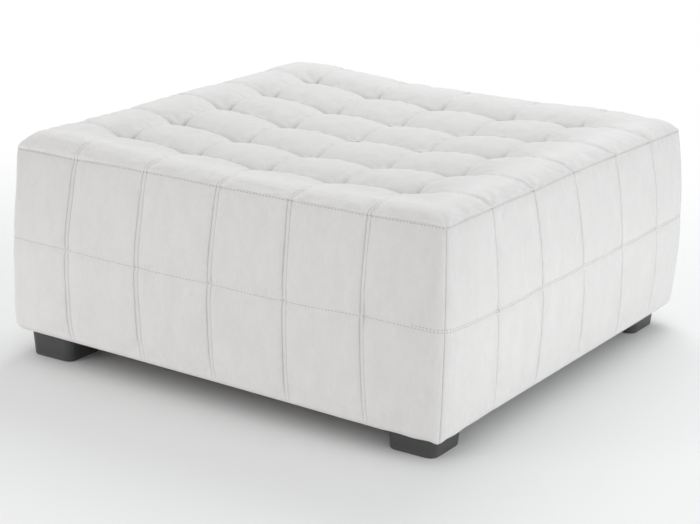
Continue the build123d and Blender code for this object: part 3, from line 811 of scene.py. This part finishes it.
def makeQuilt():
    slim = 1       # the top starts lower where it is going to swell
    line = rolledLine(half, quilt["roll"], *quilt["line"], block["fineReach"])
    x, y, points = quiltBase(line, slim)
    if slim:
        coarse = rolledLine(half, quilt["roll"], *quilt["simLine"], block["fineReach"])
        cx, cy, start = quiltBase(coarse, slim)
        nearX, nearY = nearest(cx), nearest(cy)
        held = np.where(np.minimum(nearX, nearY) < 0.004, 0.7, 0.0)
        held[(np.hypot(nearX, nearY) < 0.009) | (fromEdge(cx, cy) < 0.0001)] = 1.0
        shift = inflate("cloth_top", start, held, **quilt["inflate"], flip=True)
        points = points + resample(resample(shift, coarse, line), coarse, line, 1)
    relief, paintedShade = quiltRelief(x, y)
    flat = (points - gridNormals(points) * relief[..., None]).reshape(-1, 3)
    n = line.size
    ring = gridRing(n)
    # the quilt's edge is tucked in under the stitch line, then runs down to its flat underside
    rings = []
    for inward, lower in quilt["tucks"]:
        rings.append(flat[ring] * [1 - inward / half, 1 - inward / half, 1] - [0, 0, lower])
    rings.append(flat[ring] * (1 - quilt["undersideIn"] / half))
    rings[-1][:, 2] = quilt["underside"]
    loops = [ring] + [np.arange(ring.size) + n * n + k * ring.size for k in range(3)]
    skirt = [band(upper, lower) for upper, lower in zip(loops, loops[1:])]
    faces = [gridFaces(n, n)[:, ::-1], *skirt, [loops[-1][::-1]]]
    # the painted shade of the top, carried onto its tucked edge
    shade = np.concatenate([paintedShade.ravel(), paintedShade.ravel()[ring], np.zeros(2 * ring.size)])
    piece = meshPiece("quiltedTop", np.concatenate([flat, *rings]), faces, topVelvet, shade)
    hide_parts("top_quilt")


makeQuilt()
print("quilted top made")

# Foam under the covers

foamPad = {
    "top": 0.4045, "underside": 0.3301, "half": 0.4478, "edge": 0.010, "line": (5, 0.0035, 0.014, 0.012),
    "dimple": 0.006, "dimpleReach": 0.012,
    "sideTop": 0.4044, "sideLow": 0.0556, "inset": 0.0064, "back": 0.4483,
    "cells": 420.0, "colour": (0.84, 0.78, 0.60, 1), "tanned": (0.76, 0.66, 0.44, 1),
}


def foamFinish():
    material, shader, place = startMaterial("foam")
    pores = cells(place, foamPad["cells"])
    colour = mixColours(maths("MULTIPLY", noise(place, 7.0, 3.0), 0.7), foamPad["colour"], foamPad["tanned"])
    finish(shader, scaled(colour, maths("MULTIPLY_ADD", pores, 0.25, 0.86)), 0.95, pores, 0.6, 0.0006)
    return material


foamMaterial = foamFinish()


# the slab: a square grid for the top with a dimple at each cord, rounded down at its edge by a quarter
# circle, and the same grid for the underside
def makeTopFoam():
    edge = foamPad["edge"]
    line = rolledLine(foamPad["half"], edge, *foamPad["line"])
    x, y = np.meshgrid(line, line)
    over = np.clip(edge - foamPad["half"] + np.maximum(np.abs(x), np.abs(y)), 0, edge)
    drop = edge - np.sqrt(edge**2 - over**2)
    dimple = foamPad["dimple"] * bell(np.hypot(nearest(x), nearest(y)), foamPad["dimpleReach"])
    top = xyz(x, y, foamPad["top"] - drop - dimple)
    low = xyz(x, y, foamPad["underside"] + np.minimum(drop, 0.004))
    n = line.size
    faces = [gridFaces(n, n)[:, ::-1], gridFaces(n, n) + n * n, band(gridRing(n), gridRing(n) + n * n)]
    piece = meshPiece("foamSlab", np.concatenate([top, low]), faces, foamMaterial)
    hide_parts("top_foam")


# a side pad: its outside follows the cover from inside, its back lies on the board, and its ends are mitred
def makeSideFoam(quarter):
    x, angle = sideColumns(0.014, 0.014, 4)
    z = np.linspace(foamPad["sideTop"], foamPad["sideLow"], 26)
    outer = sideOutline(x, angle, np.maximum(z, foldTop + 0.001), foamPad["inset"])
    outer[..., 2] = z[:, None]
    # the pad draws in over the fold of the cover, along its quarter circle
    fold = unit((foldTop - z) / block["foldRadius"])[:, None]
    outer[..., :2] *= 1 - (block["foldRadius"] * (1 - np.sqrt(1 - fold**2)) / half)[..., None]
    reach = foamPad["back"]
    back = xyz(np.clip(np.where(angle > 0, np.sign(x) * reach, x), -reach, reach), -reach, z[:, None])
    world = turned(outer, quarter)
    world[..., :2] += cornerShift(*np.moveaxis(world, -1, 0))
    loop = np.concatenate([world, turned(back[::-1], quarter)])
    piece = meshPiece("foamPad_" + sideNames[quarter], loop, loopFaces(*loop.shape[:2]), foamMaterial)
    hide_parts("side_foam_" + sideNames[quarter])


makeTopFoam()
for quarter in range(4):
    makeSideFoam(quarter)
print("foam made")

# Wood, metal and plastic of the nodes that stay

timber = {
    "pine": {"Light": (0.72, 0.53, 0.32, 1), "Dark": (0.47, 0.29, 0.13, 1), "Ring Scale": 95.0,
             "Fibre Scale": 420.0, "Ring Strength": 0.55},
    "ply": {"Light": (0.66, 0.48, 0.29, 1), "Dark": (0.45, 0.30, 0.16, 1), "Ring Scale": 38.0,
            "Fibre Scale": 260.0, "Ring Strength": 0.3},
    "alongGrain": 0.06, "plyLayer": 0.003,
}


# sawn wood: bent growth rings from a wave, fibres from a stretched noise; the vector is already squeezed
# along the grain
def makeGrainGroup():
    group, take, give = newGroup("woodGrain", {
        "Vector": None, "Light": (0.7, 0.5, 0.3, 1), "Dark": (0.4, 0.3, 0.1, 1), "Ring Scale": 90.0,
        "Fibre Scale": 400.0, "Ring Strength": 0.5})
    bent = scaled(noise(take["Vector"], 9.0).node.outputs["Color"], 0.03)
    place = node(bent, "VectorMath", {0: take["Vector"], 1: bent}, operation="ADD").outputs["Vector"]
    rings = maths("POWER", waves(place, take["Ring Scale"], 2.5, profile="SAW"), 2.0)
    rings = maths("MULTIPLY", rings, take["Ring Strength"])
    fibres = noise(take["Vector"], take["Fibre Scale"], 3.0, 0.7)
    share = maths("MULTIPLY_ADD", fibres, 0.45, rings, clamp=True)
    put(give["Colour"], mixColours(share, take["Light"], take["Dark"]))
    put(give["Roughness"], maths("MULTIPLY_ADD", share, 0.2, 0.55))
    put(give["Height"], maths("SUBTRACT", fibres, rings))
    return group


grainGroup = makeGrainGroup()


def woodMaterial(name, axis, kind):
    material, shader, place = startMaterial(name)
    squeeze = [timber["alongGrain"] if k == axis else 1.0 for k in range(3)]
    at = node(place, "Mapping", {"Vector": place, "Scale": squeeze}).outputs["Vector"]
    grain = node(place, "Group", {"Vector": at, **timber[kind]}, node_tree=grainGroup).outputs
    colour = grain["Colour"]
    if kind == "ply":
        # the plies show as stripes on the edges, by their height
        height = node(place, "SeparateXYZ", {"Vector": place}).outputs["Z"]
        layer = maths("GREATER_THAN", maths("PINGPONG", height, timber["plyLayer"]), timber["plyLayer"] / 2)
        colour = scaled(colour, maths("MULTIPLY_ADD", layer, 0.25, 0.78))
    finish(shader, colour, grain["Roughness"], grain["Height"], 0.35, 0.0004)
    return material


pine = [woodMaterial("pine" + "XYZ"[axis], axis, "pine") for axis in range(3)]
plywood = woodMaterial("plywood", 0, "ply")

fittings = {
    "zinc": ((0.62, 0.62, 0.60, 1), (0.42, 0.42, 0.41, 1)), "zincRough": 0.20,
    "cord": ((0.55, 0.53, 0.47, 1), (0.78, 0.76, 0.70, 1)), "cordRough": 0.85,
    "anchor": ((0.78, 0.77, 0.73, 1), (0.86, 0.85, 0.82, 1)), "anchorRough": 0.3,
}


def makeZinc():
    material, shader, place = startMaterial("zinc")
    cloudy = noise(place, 240.0, 4.0, 0.65)
    rough = maths("MULTIPLY_ADD", cloudy, 0.25, fittings["zincRough"])
    finish(shader, mixColours(cloudy, *fittings["zinc"]), rough, Metallic=1.0)
    return material


def makeCordFibre():
    material, shader, place = startMaterial("cordFibre")
    strands = waves(place, 420.0, 0.4)
    finish(shader, mixColours(strands, *fittings["cord"]), fittings["cordRough"], strands, 0.6, 0.0003)
    return material


def makeAnchorPlastic():
    material, shader, place = startMaterial("anchorPlastic")
    milky = noise(place, 130.0, 3.0)
    rough = maths("MULTIPLY_ADD", milky, 0.2, fittings["anchorRough"])
    finish(shader, mixColours(milky, *fittings["anchor"]), rough)
    return material


zinc = makeZinc()

foot = {
    "colour": (0.053, 0.053, 0.056, 1), "worn": (0.100, 0.098, 0.097, 1), "roughness": 0.34,
    "pebble": 1500.0, "pebbleDepth": 0.00012, "dustHeight": 0.012,
}


# moulded plastic: a fine pebble, broad uneven gloss, and a paler scuffed band at the floor
def makeFootPlastic():
    material, shader, place = startMaterial("footPlastic")
    pebble = cells(place, foot["pebble"], feature="SMOOTH_F1")
    uneven = noise(place, 26.0, 4.0, 0.6)
    height = node(place, "SeparateXYZ", {"Vector": place}).outputs["Z"]
    low = maths("SUBTRACT", 1.0, maths("DIVIDE", height, foot["dustHeight"]), clamp=True)
    scuffed = maths("MULTIPLY", low, maths("MULTIPLY", uneven, 0.9), clamp=True)
    share = maths("MULTIPLY_ADD", uneven, 0.12, scuffed, clamp=True)
    rough = maths("MULTIPLY_ADD", low, 0.2, maths("MULTIPLY_ADD", uneven, 0.16, foot["roughness"]))
    finish(shader, mixColours(share, foot["colour"], foot["worn"]), rough, pebble, 0.5, foot["pebbleDepth"])
    return material


# Dust cloth and its staples

dustSheet = {
    "half": 0.44295, "notch": 0.3592, "height": 0.0494, "sag": 0.0050, "thickness": 0.0006, "wrinkle": 0.0009,
    "area": 0.7568, "colour": (0.022, 0.022, 0.024), "spots": 620.0, "fibres": 1500.0,
}
staple = {
    "pitch": 0.062, "inward": 0.011, "long": 0.011, "wire": 0.0011, "leg": 0.0012,
    "skew": 0.35, "stray": 0.004,
    # its bridge: shares of its length and of its legs
    "bridge": [[-0.5, 1.0], [-0.5, 0.25], [-0.42, 0.0], [0.42, 0.0], [0.5, 0.25], [0.5, 1.0]],
}


# non-woven cloth: pressed spots in rows over matted fibres
def dustFinish():
    material, shader, place = startMaterial("dustCloth")
    spots = cells(place, dustSheet["spots"], 0.15)
    fibres = noise(place, dustSheet["fibres"])
    shade = maths("MULTIPLY_ADD", spots, 0.9, maths("MULTIPLY", fibres, 0.7))
    shade = maths("MULTIPLY_ADD", noise(place, 9.0, 3.0), 0.5, shade)
    height = maths("MULTIPLY_ADD", fibres, 0.4, spots)
    finish(shader, scaled(dustSheet["colour"], shade), 0.9, height, 0.5, 0.0003)
    return material


# the sheet sags by (1 - x^2)(1 - y^2) between its edges, with slack folds that run in from the staples
def dustHeight(x, y):
    slack = unit(1 - (x / dustSheet["half"]) ** 2) * unit(1 - (y / dustSheet["half"]) ** 2)
    folds = softNoise(x * 9 + 20, y * 9 + 20, 71) + 0.5 * softNoise(x * 26 + 20, y * 26 + 20, 72)
    wrinkles = dustSheet["wrinkle"] * folds * np.minimum(4 * slack, 1)
    return dustSheet["height"] - dustSheet["sag"] * slack + wrinkles


# a flat grid without its four corners, which are notched round the feet
def makeDustCloth():
    notch = dustSheet["notch"]
    flap = np.linspace(notch, dustSheet["half"], 7)[1:]
    line = np.concatenate([-flap[::-1], np.linspace(-notch, notch, 57), flap])
    x, y = np.meshgrid(line, line)
    points = xyz(x, y, dustHeight(x, y)).reshape(-1, 3)
    faces = gridFaces(line.size, line.size)
    kept = np.abs(points[faces].mean(axis=1)[:, :2]).min(axis=1) <= notch
    used, renumbered = np.unique(faces[kept], return_inverse=True)
    piece = meshPiece("dustCloth", points[used], [renumbered.reshape(-1, 4)], dustMaterial)
    wall = piece.modifiers.new("thickness", "SOLIDIFY")
    wall.thickness, wall.offset = dustSheet["thickness"], -1.0
    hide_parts("dust_cover")
    return piece


# staples as one mesh: a flat wire carried along a bridge of six points, with its legs up in the cloth
def makeStaples():
    bridge = np.array(staple["bridge"])[:, :, None]
    turn = (np.arange(6) + 0.5) * math.pi / 3
    count = int(2 * dustSheet["notch"] / staple["pitch"])
    random = np.random.default_rng(41)
    skew = random.uniform(-staple["skew"], staple["skew"], count)[:, None, None]
    along = (np.arange(count) - (count - 1) / 2) * staple["pitch"]
    along = (along + random.uniform(-staple["stray"], staple["stray"], count))[:, None, None]
    px, py = bridge[:, 0] * staple["long"], 0.5 * staple["wire"] * np.cos(turn)
    pz = bridge[:, 1] * staple["leg"] - 0.3 * staple["wire"] * np.sin(turn)
    turnX, turnY = np.cos(skew) * px - np.sin(skew) * py, np.sin(skew) * px + np.cos(skew) * py
    one = xyz(turnX + along, turnY - dustSheet["half"] + staple["inward"], pz)
    every = np.concatenate([turned(one, quarter) for quarter in range(4)])
    place = every.mean(axis=(1, 2))
    every[..., 2] += (dustHeight(place[:, 0], place[:, 1]) - dustSheet["thickness"] - 0.0004)[:, None, None]
    piece = meshPiece("staples", every, barFaces(len(every), 6), zinc)
    return piece


dustMaterial = dustFinish()
cloth = makeDustCloth()
staples = makeStaples()
print("dust cloth stapled")

finishes = {
    "foot_": makeFootPlastic(), "leg_bolts": zinc, "threaded_inserts": zinc, "deck_screws": zinc,
    "tuft_cords": makeCordFibre(), "tuft_anchors": makeAnchorPlastic(), "deck_board": plywood,
    "side_board": plywood, "dust_cover": dustMaterial, "top_foam": foamMaterial, "side_foam": foamMaterial,
    "top_quilt": topVelvet, "side_cover": sideVelvet,
}
for nodeName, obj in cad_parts.items():
    low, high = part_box(nodeName)
    longest = int(np.argmax([high[k] - low[k] for k in range(3)]))      # the grain of pine runs along it
    material = next((m for start, m in finishes.items() if nodeName.startswith(start)), pine[longest])
    obj.data.materials.clear()
    obj.data.materials.append(material)
print("frame finished")

# Floor, light and camera

ground = {
    "half": 12.0, "colours": ((0.925, 0.925, 0.925, 1), (0.935, 0.935, 0.935, 1)),
    "whiteFrom": 0.75, "whiteAt": 1.9,
}
light = {
    "world": 0.635, "worldColour": (0.982, 0.995, 1.0, 1),
    # the key lamp stands above and behind
    "key": {"at": (-0.7, 2.2, 3.0), "size": 2.2, "power": 46.0, "colour": (0.97, 0.995, 1.0)},
    "side": {"at": (3.4, -0.3, 1.0), "size": 1.8, "power": 29.5, "colour": (0.97, 0.995, 1.0)},
    "front": {"at": (-1.8, -3.2, 0.9), "size": 1.8, "power": 24.0, "colour": (1.0, 0.945, 0.91)},
}
view = {
    "azimuth": 32.063, "elevation": 17.357, "roll": 1.585,   # degrees
    "position": (2.0705, -3.3250, 1.3862), "lens": 103.889, "sensor": 36.0,
}


# away from the object the camera sees the floor as plain white
def makeFloor():
    mesh = bpy.data.meshes.new("floor")
    corners = [(x * ground["half"], y * ground["half"], 0) for x, y in ((-1, -1), (1, -1), (1, 1), (-1, 1))]
    mesh.from_pydata(corners, [], [(0, 1, 2, 3)])
    material, shader, place = startMaterial("floor")
    tree = material.node_tree
    finish(shader, mixColours(noise(place, 3.0), *ground["colours"]), 0.9)
    fromMiddle = node(place, "VectorMath", {0: place}, operation="LENGTH").outputs["Value"]
    reach = {"Value": fromMiddle, "From Min": ground["whiteFrom"], "From Max": ground["whiteAt"]}
    paler = node(place, "MapRange", reach, interpolation_type="SMOOTHSTEP").outputs["Result"]
    seen = maths("MULTIPLY", paler, node(place, "LightPath", {}).outputs["Is Camera Ray"])
    white = node(place, "Emission", {"Color": (1, 1, 1, 1), "Strength": 1.0}).outputs[0]
    mix = node(place, "MixShader", {"Fac": seen, 1: tree.nodes["Principled BSDF"].outputs[0], 2: white})
    put(tree.nodes["Material Output"].inputs["Surface"], mix.outputs[0])
    mesh.materials.append(material)
    return linked("floor", mesh)


floor = makeFloor()

world = bpy.data.worlds.new("studio")
bpy.context.scene.world = world
world.use_nodes = True
tree = world.node_tree
tree.nodes.clear()
path = node(tree, "LightPath", {}).outputs
seen = maths("MAXIMUM", path["Is Camera Ray"], path["Is Glossy Ray"])
seen = maths("MAXIMUM", seen, path["Is Transmission Ray"])
plain = node(tree, "Background", {"Color": light["worldColour"], "Strength": light["world"]}).outputs[0]
white = node(tree, "Background", {"Color": (1, 1, 1, 1), "Strength": 1.0}).outputs[0]
node(tree, "OutputWorld", {"Surface": node(tree, "MixShader", {"Fac": seen, 1: plain, 2: white}).outputs[0]})

for lampName in ("key", "side", "front"):
    values = light[lampName]
    data = bpy.data.lights.new(lampName + "Lamp", "AREA")
    data.shape, data.size = "SQUARE", values["size"]
    data.energy, data.color = values["power"], values["colour"]
    lamp = linked(lampName + "Lamp", data)
    lamp.location = values["at"]
    lamp.rotation_euler = (Vector((0, 0, 0.25)) - lamp.location).to_track_quat("-Z", "Y").to_euler()

az, el, roll = (math.radians(view[k]) for k in ("azimuth", "elevation", "roll"))
back = Vector((math.sin(az) * math.cos(el), -math.cos(az) * math.cos(el), math.sin(el)))
right = Vector((math.cos(az), math.sin(az), 0))
up = back.cross(right)
turnedRight = math.cos(roll) * right + math.sin(roll) * up
turnedUp = -math.sin(roll) * right + math.cos(roll) * up
cameraData = bpy.data.cameras.new("camera")
cameraData.lens, cameraData.sensor_width, cameraData.sensor_fit = view["lens"], view["sensor"], "HORIZONTAL"
camera = linked("camera", cameraData)
pose = Matrix((turnedRight, turnedUp, back)).transposed().to_4x4()
pose.translation = Vector(view["position"])
camera.matrix_world = pose
bpy.context.scene.camera = camera
bpy.context.scene.view_settings.view_transform = "Standard"
print("camera and light set")
